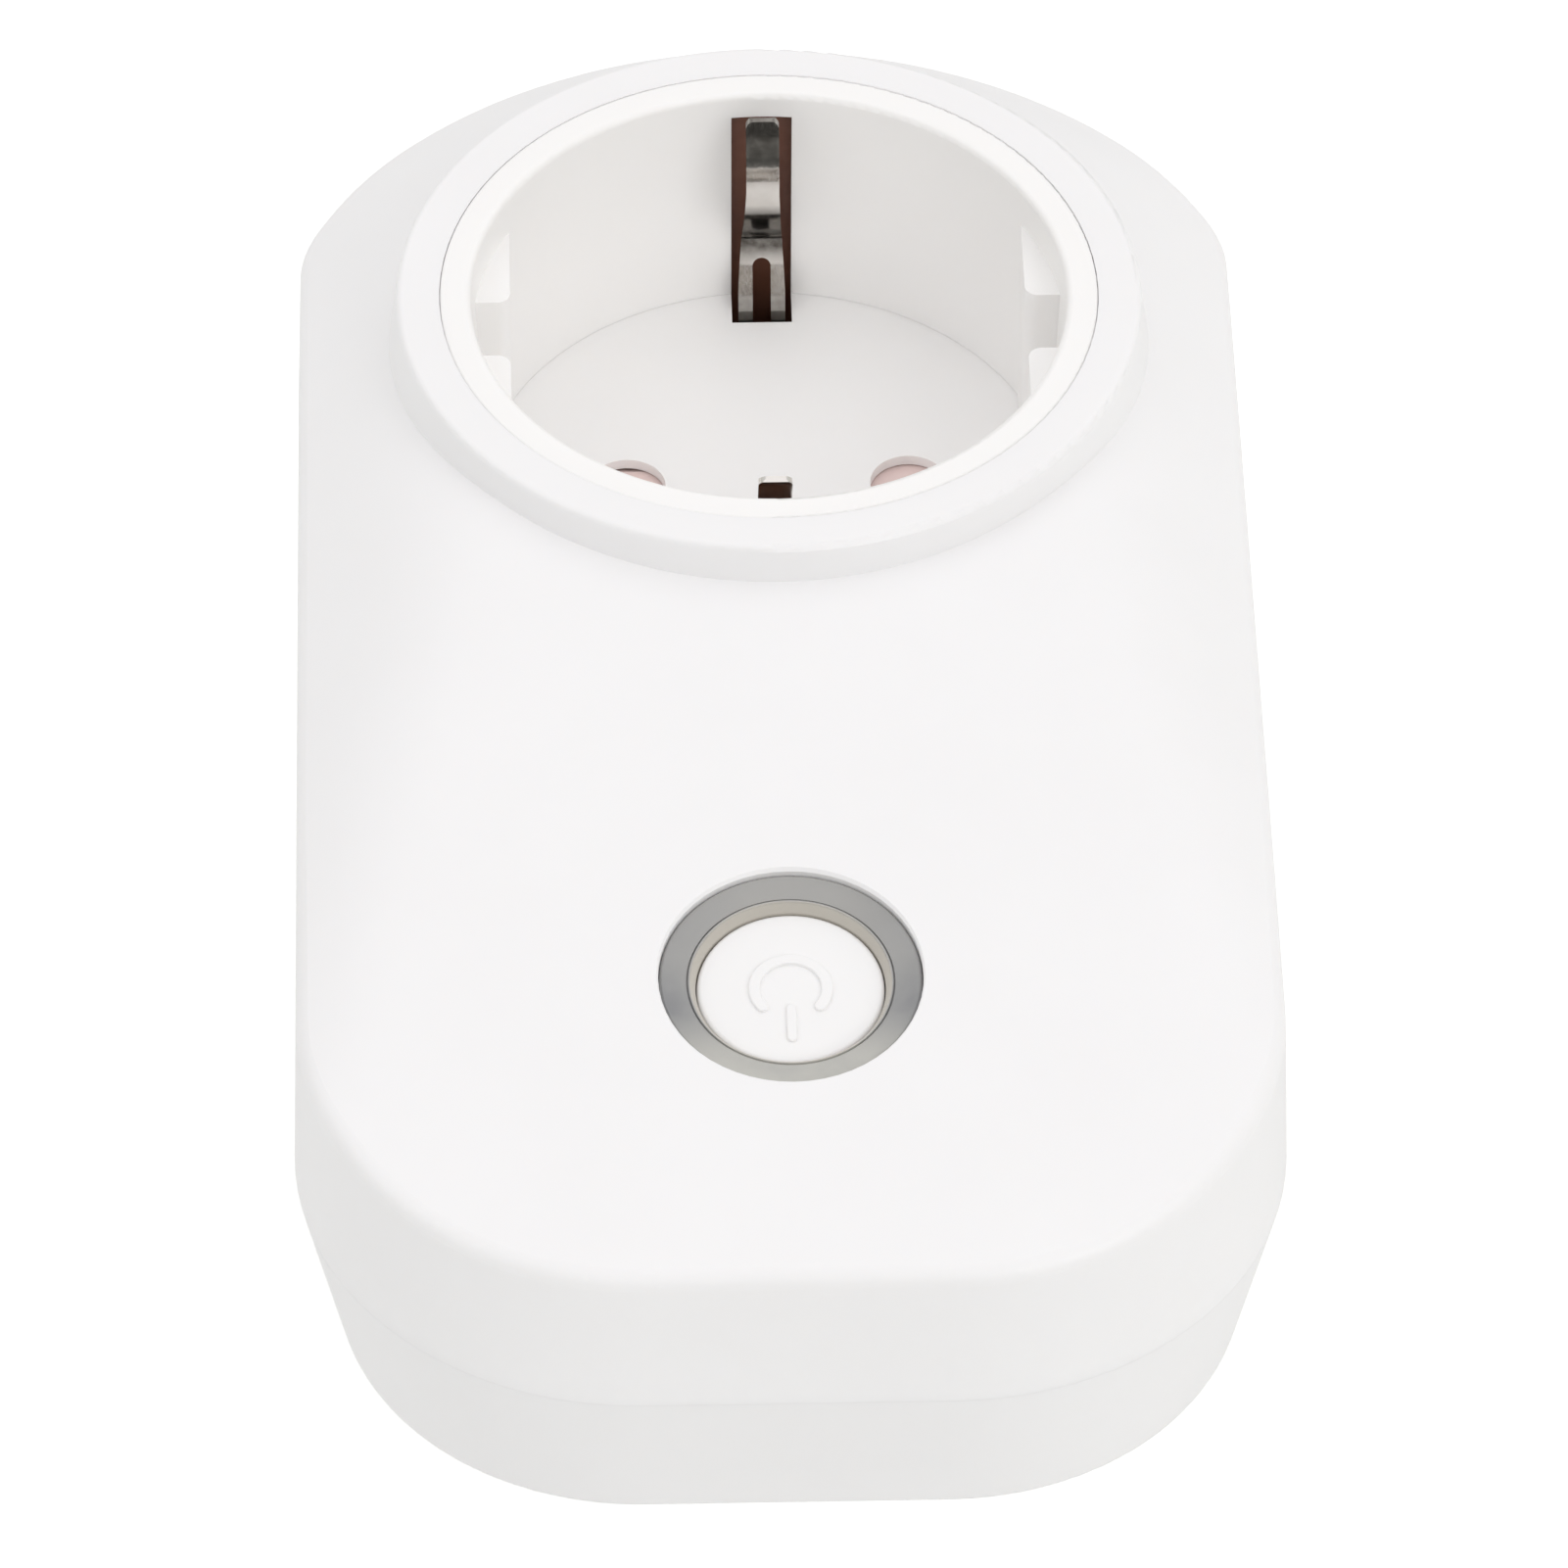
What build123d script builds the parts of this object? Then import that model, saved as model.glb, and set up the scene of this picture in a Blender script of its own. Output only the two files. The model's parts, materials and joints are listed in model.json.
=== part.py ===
from build123d import *
import os
from math import cos, radians, sin, sqrt, tan

# Smart plug with an earthed side-contact socket in front and a matching plug behind.
# Units are millimetres. +Z points out of the wall towards the user, +Y towards the socket end and
# +X to the user's right. The parts are drawn with the socket and plug axis at x = y = 0 and the
# flat back face at z = 0. The last step moves them so that the origin is on the back face below
# that axis.

# ---- driving dimensions: housing -------------------------------------------------------------
AXIS_ABOVE_ORIGIN = 45.0   # the socket and plug axis ends up this far up from the origin
HALF_WIDTH = 31.75         # at the parting line, where the housing is widest
LOWER_END_Y = -81.6        # end wall at the parting line
LOWER_CORNER_R = 22.0
TOP_ARC_R = 35.6           # the socket end is one large arc
TOP_ARC_Y = -1.6
UPPER_CORNER_R = 9.0
RIM_Z = 32.5               # front rim of the socket
PARTING_Z = 12.5
SIDE_DRAFT = 2.0           # degrees, front walls lean in from the parting line
END_DRAFT = 6.0            # degrees, the lower end wall leans in more
BACK_TAPER = 11.8          # degrees, rear walls lean in more strongly
WALL = 2.0
ROOF_WALL = 2.2
EDGE_FILLET = 1.2
BACK_EDGE_FILLET = 0.9
LIP_HEIGHT = 1.5
LIP_THICKNESS = 0.9
LIP_GAP = 0.08

# ---- front face ------------------------------------------------------------------------------
FACE_SLOPE = 7.5           # degrees, the face falls from the collar to the lower end
FACE_BREAK_Y = -25.2       # the slope starts at the lower side of the collar
PLATEAU_Z = RIM_Z - 2.45
SHOULDER_Z = RIM_Z - 7.6   # height of the side edges
SHOULDER_SLOPE = 33.0      # degrees, the side flanks rise inwards from the side edges
SHOULDER_INSET = 1.0       # where the draft leaves the side edges
CREASE_BLEND = 3.0         # height difference over which plateau and flanks merge
CORNER_BLEND = 6.0
BREAK_BLEND = 1.0

# ---- collar and socket -----------------------------------------------------------------------
COLLAR_R = 24.75
COLLAR_ROUND = 0.45
COLLAR_DRAFT = 7.5         # degrees, the collar widens towards the face
COLLAR_SLEEVE_R = 23.4
COLLAR_SLEEVE_Z = 24.0
INLAY_FLANGE_R = 21.86
INLAY_FLANGE_T = 1.5
SEAT_R = 21.9
CUP_R = 21.2
CUP_BORE_R = 21.3
RECESS_RIM_R = 19.8
RECESS_FLOOR_R = 19.2
RECESS_DEPTH = 17.5
RIM_ROUND = 0.45
FLOOR_DISC_R = 20.0
FLOOR_T = 0.8
RIB_X = 17.2
RIB_GROOVE = 5.2
RIB_DEPTH = 3.0            # rib tops sit this far below the rim
PIN_SPACING = 19.0
PIN_R = 2.4
PIN_HOLE_R = 2.6
SLOT_WIDTH = 4.1
SLOT_TOP = 1.9             # below the rim
SLOT_OUTER_R = 20.7
SLOT_INNER_R = 16.2

# ---- button ----------------------------------------------------------------------------------
BUTTON_Y = -57.0
BUTTON_TILT = 6.8          # degrees from the wall normal
RING_R = 8.35
RING_HOLE_R = 8.42
RING_SINK = 0.3            # the ring's lower edge sits this far below the face
RING_MOUTH_R = 6.4
RING_BORE_R = 6.05
RING_DISH = 0.3
RING_LIP = 1.0
BUTTON_R = 5.98
BUTTON_FLANGE_R = 6.9
BUTTON_STEM_R = 1.6
SYMBOL_HEIGHT = 0.22
SYMBOL_R = 2.7
SYMBOL_STROKE = 0.75
SYMBOL_BAR = (-3.9, -1.6)   # ends of the bar, from the middle of the open ring
SYMBOL_GAP_ANGLE = 52.0    # degrees each side of the bar
DIMPLE_SLOPE = 10.0
DIMPLE_STEP = 0.3          # upright wall round the light ring
DIMPLE_BEVEL = 0.3         # 45 degree bevel above it, under the shallow dimple

# ---- plug ------------------------------------------------------------------------------------
BOSS_R = 18.6
BOSS_DEPTH = 17.5
BOSS_FLAT_X = 16.9
BOSS_KEY = 4.8
BOSS_CAVITY_R = 16.2
BOSS_CAVITY_X = 14.5
BOSS_PLATE_T = 3.0
PIN_LENGTH = 19.0
PIN_NECK_R = 2.15
PIN_SHOULDER = 0.3         # the full-width shank starts this far in front of the plug body
EARTH_HOLE_Y = 10.0
EARTH_HOLE_R = 2.6
EARTH_STRIP_Y = 17.4
EARTH_STRIP_T = 0.8
EARTH_STRIP_W = 6.4

# ---- board and fixings -----------------------------------------------------------------------
BOARD_Z = 5.0
BOARD_T = 1.6
BOARD_TOP = BOARD_Z + BOARD_T
WIRE_R = 1.1
WIRE_END_Z = BOARD_TOP + 0.6
HOUSING_SCREW_XY = [(23.0, 13.0), (-23.0, 13.0), (20.5, -69.5), (-20.5, -69.5)]
HOUSING_SCREW_HEAD_Z = 7.0
BOARD_SCREW_XY = [(22.5, -30.0), (-22.5, -30.0)]
RETAINER_SCREW_XY = [(-12.0, 12.0), (12.0, -12.0)]

# ---- inside the socket and the plug ----------------------------------------------------------
SHUTTER_Z = (12.5, 14.1)
SHUTTER_REACH = 13.2
ARM_HALF_ANGLE = 19.0
SHUTTER_RETAINER_Z = (8.2, 9.7)
SPRING_THICKNESS = 0.5
CONTACT_Z = (-5.6, 5.4)
BLOCK_Z = (-8.8, 5.9)
STRIP_X = (3.6, 6.6)       # live strip beside the live contact

# ---- switch and relay ------------------------------------------------------------------------
SWITCH_BODY_TOP = BOARD_TOP + 3.5
SWITCH_PLUNGER_TOP = 13.6
RELAY_X = (-24.0, -5.0)
RELAY_Y = (-49.0, -33.5)
RELAY_MID_Y = (RELAY_Y[0] + RELAY_Y[1]) / 2
RELAY_TOP = BOARD_TOP + 15.2
COIL_X = -15.0
CORE_TOP = BOARD_TOP + 11.4
YOKE_X = (-22.4, -21.2)
ARMATURE_Z = CORE_TOP + 0.45
TRANSFORMER_XY = (13.5, -41.0)

SOCKET_FLOOR_Z = RIM_Z - RECESS_DEPTH
CUP_BOTTOM_Z = SOCKET_FLOOR_Z - FLOOR_T
PIN_X = PIN_SPACING / 2
SIDES = (1, -1)
SEATED = 0.02              # gap left between parts that rest on each other


# ---- shape helpers ---------------------------------------------------------------------------
def block(x, y, z):
    """Box from three (low, high) spans."""
    size = (x[1] - x[0], y[1] - y[0], z[1] - z[0])
    return Pos((x[0] + x[1]) / 2, (y[0] + y[1]) / 2, (z[0] + z[1]) / 2) * Box(*size)


def rod(radius, z_low, z_high, x=0.0, y=0.0):
    """Upright cylinder."""
    return Pos(x, y, (z_low + z_high) / 2) * Cylinder(radius, z_high - z_low)


def spin(points):
    """Solid of revolution about Z from (radius, z) points."""
    profile = make_face(Polyline([(r, 0, z) for r, z in points], close=True))
    return revolve(profile, Axis.Z)


def soft_min(a, b, reach):
    """Smaller of two heights, blended where they differ by less than reach."""
    nearness = max(reach - abs(a - b), 0) / reach
    return min(a, b) - nearness ** 2 * reach / 4


def screw(head_r, head_h, shank_r, length):
    """Cross-head screw: underside of the head at z = 0, shank towards +Z."""
    head = rod(head_r, -head_h, 0)
    head = fillet(head.edges().sort_by(Axis.Z)[0], head_h * 0.35)
    arm = head_r * 0.6
    slot = head_r * 0.13
    recess = (-head_h, -head_h * 0.4)
    cross = block((-arm, arm), (-slot, slot), recess) + block((-slot, slot), (-arm, arm), recess)
    return head + rod(shank_r, 0, length) - cross


# ---- housing outline and face ----------------------------------------------------------------
def outline(inset, end_inset=None):
    """Plan outline: straight sides, round lower corners and one large arc at the socket end."""
    half = HALF_WIDTH - inset
    low = LOWER_END_Y + (inset if end_inset is None else end_inset)
    arc_r = TOP_ARC_R - inset
    shoulder_y = TOP_ARC_Y + sqrt(arc_r ** 2 - half ** 2)
    sides = Polyline([(-half, shoulder_y), (-half, low), (half, low), (half, shoulder_y)])
    top = ThreePointArc((half, shoulder_y), (0, TOP_ARC_Y + arc_r), (-half, shoulder_y))
    face = Sketch() + make_face([sides, top])
    face = fillet(face.vertices().sort_by(Axis.Y)[:2], LOWER_CORNER_R - inset)
    return fillet(face.vertices().sort_by(Axis.Y)[-2:], UPPER_CORNER_R - inset)


def face_height(x, y):
    """Height of the front face: a level part round the collar, a slope to the lower end, falling flanks."""
    slope = tan(radians(FACE_SLOPE))
    plateau = soft_min(PLATEAU_Z, PLATEAU_Z + (y - FACE_BREAK_Y) * slope, BREAK_BLEND)
    to_side = HALF_WIDTH - SHOULDER_INSET - abs(x)
    to_top = 2 * HALF_WIDTH
    if y > TOP_ARC_Y:
        to_top = TOP_ARC_R - SHOULDER_INSET - sqrt(x ** 2 + (y - TOP_ARC_Y) ** 2)
    flank = SHOULDER_Z + tan(radians(SHOULDER_SLOPE)) * soft_min(to_side, to_top, CORNER_BLEND)
    return soft_min(plateau, flank, CREASE_BLEND)


def under_face(drop):
    """Everything below the front face, lowered by drop."""
    columns = 33
    rows = 51
    x_reach = HALF_WIDTH + 4
    y_low = LOWER_END_Y - 4
    y_high = TOP_ARC_Y + TOP_ARC_R + 4
    grid = []
    for row in range(rows):
        y = y_low + (y_high - y_low) * row / (rows - 1)
        xs = [-x_reach + 2 * x_reach * column / (columns - 1) for column in range(columns)]
        grid.append([Vector(x, y, face_height(x, y) - drop) for x in xs])
    surface = Face.make_surface_from_array_of_points(grid, tol=0.02)
    return Solid.extrude(surface, Vector(0, 0, -2 * RIM_Z))


def straight_prism(inset, z, height):
    """Outline drawn at height z and extruded straight up."""
    return extrude(Plane.XY.offset(z) * outline(inset), amount=height)


def leaning_prism(inset, height):
    """Front walls above the parting line, leaning in at the sides and more at the lower end."""
    side_inset = inset + height * tan(radians(SIDE_DRAFT))
    end_inset = inset + height * tan(radians(END_DRAFT))
    low = Plane.XY.offset(PARTING_Z) * outline(inset)
    high = Plane.XY.offset(PARTING_Z + height) * outline(side_inset, end_inset)
    return loft([low, high], ruled=True)


def button_frame():
    """Plane of the light ring's outer edge, its normal along the button's travel."""
    tilt = radians(BUTTON_TILT)
    low_edge_y = BUTTON_Y - RING_R
    z = face_height(0, low_edge_y) - RING_SINK + RING_R * sin(tilt)
    return Plane(origin=(0, BUTTON_Y, z), x_dir=(1, 0, 0), z_dir=(0, -sin(tilt), cos(tilt)))


# ---- visible shells --------------------------------------------------------------------------
def front_cover():
    skin = leaning_prism(0, RIM_Z) & under_face(0)
    top = skin.faces().sort_by(Axis.Z)[-1]
    skin = fillet(top.edges(), EDGE_FILLET)

    flare = (RIM_Z - COLLAR_SLEEVE_Z) * tan(radians(COLLAR_DRAFT))
    collar = spin([(0, COLLAR_SLEEVE_Z), (COLLAR_R + flare, COLLAR_SLEEVE_Z), (COLLAR_R, RIM_Z), (0, RIM_Z)])
    skin += fillet(collar.edges().sort_by(Axis.Z)[-1], COLLAR_ROUND)

    cavity = leaning_prism(WALL, RIM_Z) & under_face(ROOF_WALL)
    cavity -= rod(COLLAR_SLEEVE_R, COLLAR_SLEEVE_Z, RIM_Z)
    shell = skin - cavity
    shell -= straight_prism(LIP_THICKNESS + 0.1, PARTING_Z, LIP_HEIGHT + LIP_GAP)
    shell -= rod(CUP_BORE_R, PARTING_Z, RIM_Z)
    shell -= rod(SEAT_R, RIM_Z - INLAY_FLANGE_T, RIM_Z)

    for x, y in HOUSING_SCREW_XY:
        post = rod(2.8, PARTING_Z + 0.1, PARTING_Z + 14, x, y) & under_face(ROOF_WALL / 2)
        shell += post & leaning_prism(WALL / 2, RIM_Z)
        shell -= rod(1.32, PARTING_Z, PARTING_Z + 8, x, y)

    return shell - button_frame() * dimple()


def dimple():
    """Space cut for the light ring: a hole, a small step, a bevel and a shallow cone."""
    reach = 1.4
    bevel_top = DIMPLE_STEP + DIMPLE_BEVEL
    bevel_r = RING_HOLE_R + DIMPLE_BEVEL
    mouth_r = bevel_r + reach / tan(radians(DIMPLE_SLOPE))
    hole = [(0, -RING_LIP - 5), (RING_HOLE_R, -RING_LIP - 5), (RING_HOLE_R, DIMPLE_STEP)]
    funnel = [(bevel_r, bevel_top), (mouth_r, bevel_top + reach), (0, bevel_top + reach)]
    return spin(hole + funnel)


def back_housing():
    tub = extrude(Plane.XY.offset(PARTING_Z) * outline(0), amount=-PARTING_Z, taper=BACK_TAPER)
    back_face = tub.faces().sort_by(Axis.Z)[0]
    tub = fillet(back_face.edges(), BACK_EDGE_FILLET)
    rim_plane = Plane.XY.offset(PARTING_Z)
    tub -= extrude(rim_plane * outline(WALL), amount=-(PARTING_Z - WALL), taper=BACK_TAPER)
    lip_outer = straight_prism(LIP_THICKNESS + 0.2, PARTING_Z - 1, LIP_HEIGHT + 1)
    lip_inner = straight_prism(WALL, PARTING_Z - 1, LIP_HEIGHT + 1)
    tub += lip_outer - lip_inner

    tub += plug_boss()
    tub -= boss_cavity()

    limit = extrude(rim_plane * outline(WALL / 2), amount=-PARTING_Z, taper=BACK_TAPER)
    for x, y in HOUSING_SCREW_XY:
        post = rod(4.2, 0.5, 8.2, x, y) + rod(2.8, 0.5, PARTING_Z, x, y)
        tub += post & limit
        tub -= rod(1.5, 0, PARTING_Z, x, y) + rod(3.0, 0, HOUSING_SCREW_HEAD_Z, x, y)
    for x, y in BOARD_SCREW_XY:
        tub += rod(3.0, WALL / 2, BOARD_Z - SEATED, x, y)
        tub -= rod(1.02, WALL, BOARD_Z, x, y)
    for side in SIDES:
        y = side * (EARTH_STRIP_Y + EARTH_STRIP_T / 2)
        half_w = EARTH_STRIP_W / 2 + 0.1
        half_t = EARTH_STRIP_T / 2 + 0.1
        tub -= block((-half_w, half_w), (y - half_t, y + half_t), (-BOSS_DEPTH + 1.1, WALL))
        outward = sorted((side * (EARTH_STRIP_Y + 0.1), side * (BOSS_R + 1)))
        tub -= block((-half_w, half_w), outward, (-BOSS_DEPTH + 1.1, -1.5))
    return tub


def plug_boss():
    """Round plug body with a flat and a central key on each side."""
    body = rod(BOSS_R, -BOSS_DEPTH, WALL)
    body = fillet(body.edges().sort_by(Axis.Z)[0], 1.2)
    for side in SIDES:
        flat = block((BOSS_FLAT_X, BOSS_R + 1), (-BOSS_R, BOSS_R), (-BOSS_DEPTH - 1, 0))
        flat -= block((BOSS_FLAT_X - 1, BOSS_R + 2), (-BOSS_KEY / 2, BOSS_KEY / 2), (-BOSS_DEPTH - 2, 1))
        body -= flat if side > 0 else mirror(flat, about=Plane.YZ)
    for x in (PIN_X, -PIN_X):
        body -= rod(PIN_NECK_R + SEATED, -BOSS_DEPTH - 1, WALL, x, 0)
    body -= rod(EARTH_HOLE_R, -BOSS_DEPTH - 1, WALL, 0, EARTH_HOLE_Y)
    return body


def boss_cavity():
    """Hollow of the plug body, open to the housing."""
    z_span = (-BOSS_DEPTH + BOSS_PLATE_T, WALL + 0.5)
    hollow = rod(BOSS_CAVITY_R, *z_span)
    return hollow & block((-BOSS_CAVITY_X, BOSS_CAVITY_X), (-BOSS_R, BOSS_R), z_span)


# ---- socket ----------------------------------------------------------------------------------
def socket_inlay():
    """Flanged sleeve that forms the recess wall, with its guide ribs and earth slots."""
    flange_z = RIM_Z - INLAY_FLANGE_T + SEATED
    step_r = FLOOR_DISC_R + 0.05
    outside = [(step_r, CUP_BOTTOM_Z), (CUP_R, CUP_BOTTOM_Z), (CUP_R, flange_z), (INLAY_FLANGE_R, flange_z)]
    rim = [(INLAY_FLANGE_R, RIM_Z), (RECESS_RIM_R, RIM_Z)]
    inside = [(RECESS_FLOOR_R, SOCKET_FLOOR_Z), (step_r, SOCKET_FLOOR_Z)]
    sleeve = spin(outside + rim + inside)
    sleeve = fillet(rim_circles(sleeve)[0], RIM_ROUND)
    sleeve = fillet(rim_circles(sleeve)[-1], 0.15)
    return sleeve + guide_ribs() - earth_slots() - liner_pockets()


def rim_circles(sleeve):
    """Circular edges on the rim plane, smallest first."""
    return sleeve.edges().filter_by(GeomType.CIRCLE).group_by(Axis.Z)[-1].sort_by(SortBy.RADIUS)


def socket_floor():
    """Floor disc with the pin holes, screw pillars and the shutter's pivot."""
    disc = rod(FLOOR_DISC_R, CUP_BOTTOM_Z, SOCKET_FLOOR_Z - SEATED)
    for x in (PIN_X, -PIN_X):
        disc -= rod(PIN_HOLE_R, CUP_BOTTOM_Z - 1, SOCKET_FLOOR_Z + 1, x, 0)
    for x, y in RETAINER_SCREW_XY:
        disc += rod(2.2, SHUTTER_RETAINER_Z[1] + SEATED, CUP_BOTTOM_Z + 0.5, x, y)
        disc -= rod(1.02, SHUTTER_RETAINER_Z[1] - 1, SOCKET_FLOOR_Z - 0.6, x, y)
    disc += rod(1.5, 10.1, CUP_BOTTOM_Z + 0.5)
    return disc - earth_slots()


def earth_slots():
    """Space of the two slots for the earth springs."""
    half = SLOT_WIDTH / 2
    slots = []
    for side in SIDES:
        y_span = sorted((side * SLOT_INNER_R, side * SLOT_OUTER_R))
        slots.append(block((-half, half), y_span, (CUP_BOTTOM_Z - 1, RIM_Z - SLOT_TOP)))
    return slots[0] + slots[1]


def liner_pockets():
    """Openings in the sleeve's outside that take the slot liners."""
    half = SLOT_WIDTH / 2 + 1
    pockets = []
    for side in SIDES:
        y_span = sorted((side * (SLOT_OUTER_R - 0.1), side * (CUP_R + 1)))
        pockets.append(block((-half, half), y_span, (CUP_BOTTOM_Z - 1, RIM_Z - SLOT_TOP)))
    return pockets[0] + pockets[1]


def guide_ribs():
    """Four ribs in the recess wall, in pairs either side of a guide groove."""
    z_span = (SOCKET_FLOOR_Z, RIM_Z - RIB_DEPTH)
    ring = rod(RECESS_RIM_R + 0.6, *z_span)
    ribs = None
    for side in SIDES:
        x_span = sorted((side * RIB_X, side * (RECESS_RIM_R + 1)))
        segment = ring & block(x_span, (-RECESS_RIM_R, RECESS_RIM_R), z_span)
        groove = block(x_span, (-RIB_GROOVE / 2, RIB_GROOVE / 2), (z_span[0] - 1, z_span[1] + 1))
        segment -= groove
        inner_corners = [e for e in segment.edges().filter_by(Axis.Z)
                         if abs(abs(e.center().X) - RIB_X) < 0.01 and abs(e.center().Y) < RIB_GROOVE]
        segment = fillet(inner_corners, 0.9)
        ribs = segment if ribs is None else ribs + segment
    return ribs


def slot_liners():
    """Brown insulating backs of the two earth slots."""
    half = SLOT_WIDTH / 2 + 0.95
    low = SHUTTER_RETAINER_Z[1] + 0.2
    shell = rod(CUP_R, low, RIM_Z - SLOT_TOP - 0.05)
    liners = []
    for side in SIDES:
        y_span = sorted((side * (SLOT_OUTER_R + SEATED), side * (CUP_R + 1)))
        liners.append(shell & block((-half, half), y_span, (low, RIM_Z)))
    return Compound(children=[liner.solids()[0] for liner in liners])


def clip_path():
    """(radius, depth below the rim) along the earth spring from its tip to its root."""
    tip = [(17.75, 0.4), (16.85, 2.2), (16.05, 3.9)]
    bulge = [(15.92, 4.7), (16.05, 5.9), (16.4, 7.2), (17.1, 8.7), (18.1, 10.5), (18.7, 11.7), (18.8, 12.6)]
    foot = [(18.5, 14.2), (17.75, 16.0), (17.2, 17.9), (16.95, 21.0), (16.95, 25.2)]
    return tip + bulge + foot


def earth_clip(side):
    """Nickel-plated spring strip: narrow bent tip, bulge at mid height, wider foot with a pressed slot."""
    centre = Spline([(0, r, RIM_Z - depth) for r, depth in clip_path()])
    steps = 40
    outer = []
    inner = []
    for step in range(steps + 1):
        point = centre @ (step / steps)
        direction = centre % (step / steps)
        offset_by = Vector(0, direction.Z, -direction.Y) * (SPRING_THICKNESS / 2)
        outer.append(point + offset_by)
        inner.append(point - offset_by)
    tip = Line(outer[0], inner[0])
    root = Line(outer[-1], inner[-1])
    profile = make_face([Spline(outer), Spline(inner), tip, root])
    blade = extrude(profile, amount=2.5, both=True)
    blade &= clip_plan()
    blade -= clip_window()
    return blade if side > 0 else mirror(blade, about=Plane.XZ)


def clip_plan():
    """Front view of the earth spring, extruded through it."""
    tip_z = RIM_Z - 0.4
    half_tip = 1.12
    half_mid = 1.28
    half_foot = 1.6
    right = [(half_tip, tip_z), (half_tip, tip_z - 5), (half_mid, tip_z - 9.5), (half_foot, tip_z - 15.5),
             (half_foot, 5.0)]
    left = [(-x, z) for x, z in reversed(right)]
    face = Sketch() + make_face(Polyline(right + left, close=True))
    face = fillet(face.vertices().sort_by(Axis.Y)[-2:], 0.55)
    return Plane.XZ * extrude(face, amount=-30)


def clip_window():
    """Round-topped slot in the foot of the spring."""
    half = 0.62
    top_z = RIM_Z - 14.2
    window = block((-half, half), (5, 25), (RIM_Z - 24, top_z))
    return window + Rot(90, 0, 0) * Pos(0, top_z, -15) * Cylinder(half, 20)


# ---- child-protection shutter ----------------------------------------------------------------
def shutter():
    """Rotor with two arms that cover the pin holes."""
    end_x = SHUTTER_REACH * cos(radians(ARM_HALF_ANGLE))
    end_y = SHUTTER_REACH * sin(radians(ARM_HALF_ANGLE))
    wedge = make_face(Polyline([(0, 0), (end_x, end_y), (end_x, -end_y)], close=True))
    arm = Pos(0, 0, SHUTTER_Z[0]) * extrude(wedge, amount=SHUTTER_Z[1] - SHUTTER_Z[0])
    arm -= Pos(PIN_X, -4.3, SHUTTER_Z[1]) * Rot(24, 0, 0) * Box(9, 4, 1.6)
    rotor = rod(4.2, *SHUTTER_Z) + arm + Rot(0, 0, 180) * arm
    return rotor - rod(1.55, SHUTTER_Z[0] - 1, SHUTTER_Z[1] + 1)


def shutter_spring():
    """Small torsion coil that returns the shutter."""
    coil_r = 2.5
    pitch = 0.6
    height = 2.2
    path = Helix(pitch, height, coil_r, center=(0, 0, SHUTTER_RETAINER_Z[1] + 0.25))
    start = path @ 0
    section = Plane(origin=start, z_dir=path % 0) * Circle(0.2)
    return sweep(section, path, is_frenet=True)


def shutter_retainer():
    """Plate under the shutter, screwed to the socket floor."""
    through = (SHUTTER_RETAINER_Z[0] - 1, SHUTTER_RETAINER_Z[1] + 1)
    plate = rod(20.6, *SHUTTER_RETAINER_Z)
    for x in (PIN_X, -PIN_X):
        plate -= rod(3.1, *through, x, 0)
    for side in SIDES:
        y_span = sorted((side * 15.9, side * 21.0))
        plate -= block((-2.3, 2.3), y_span, through)
    for x, y in RETAINER_SCREW_XY:
        plate -= rod(1.3, *through, x, y)
    return plate


# ---- contacts --------------------------------------------------------------------------------
def contact_block():
    """Insulating carrier in the plug body with one pocket for each contact."""
    body = rod(15.9, *BLOCK_Z) & block((-14.2, 14.2), (-12.1, 15.9), BLOCK_Z)
    for x in (PIN_X, -PIN_X):
        body -= block((x - 3.9, x + 3.9), (-3.9, 3.9), (-6.4, BLOCK_Z[1] + 1))
        body -= block((x - 2.7, x + 2.7), (-13, -3), (4.0, BLOCK_Z[1] + 1))
        body -= rod(1.8, BLOCK_Z[0] - 1, -5, x, 0)
    return body - rod(3.6, BLOCK_Z[0] - 1, BLOCK_Z[1] + 1, 0, EARTH_HOLE_Y)


def sleeve_contact(x):
    """Split brass sleeve that grips a plug pin, on a base with a solder tab."""
    sleeve = rod(3.1, *CONTACT_Z, x, 0) - rod(2.45, CONTACT_Z[0] + 0.7, CONTACT_Z[1] + 1, x, 0)
    sleeve -= block((x - 0.6, x + 0.6), (-4, 4), (CONTACT_Z[0] + 3, CONTACT_Z[1] + 1))
    base = block((x - 3.6, x + 3.6), (-3.6, 3.6), (CONTACT_Z[0] - 0.6, CONTACT_Z[0] + 0.1))
    riser = block((x - 2.4, x + 2.4), (-3.75, -3.25), (CONTACT_Z[0] - 0.6, 4.9))
    tab = block((x - 2.4, x + 2.4), (-22.0, -3.25), (4.4, 4.9))
    return sleeve + base + riser + tab


def plug_pin(x, tail_top):
    """Round pin with a domed end, a neck through the plug's front plate, a head behind it and a tail."""
    tip = -BOSS_DEPTH - PIN_LENGTH
    shank = rod(PIN_R, tip, -BOSS_DEPTH - PIN_SHOULDER, x, 0)
    shank = fillet(shank.edges().sort_by(Axis.Z)[0], PIN_R * 0.85)
    head_z = -BOSS_DEPTH + BOSS_PLATE_T + SEATED
    neck = rod(PIN_NECK_R, -BOSS_DEPTH - PIN_SHOULDER, head_z, x, 0)
    return shank + neck + rod(3.4, head_z, head_z + 1, x, 0) + rod(1.6, head_z + 1, tail_top, x, 0)


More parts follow.
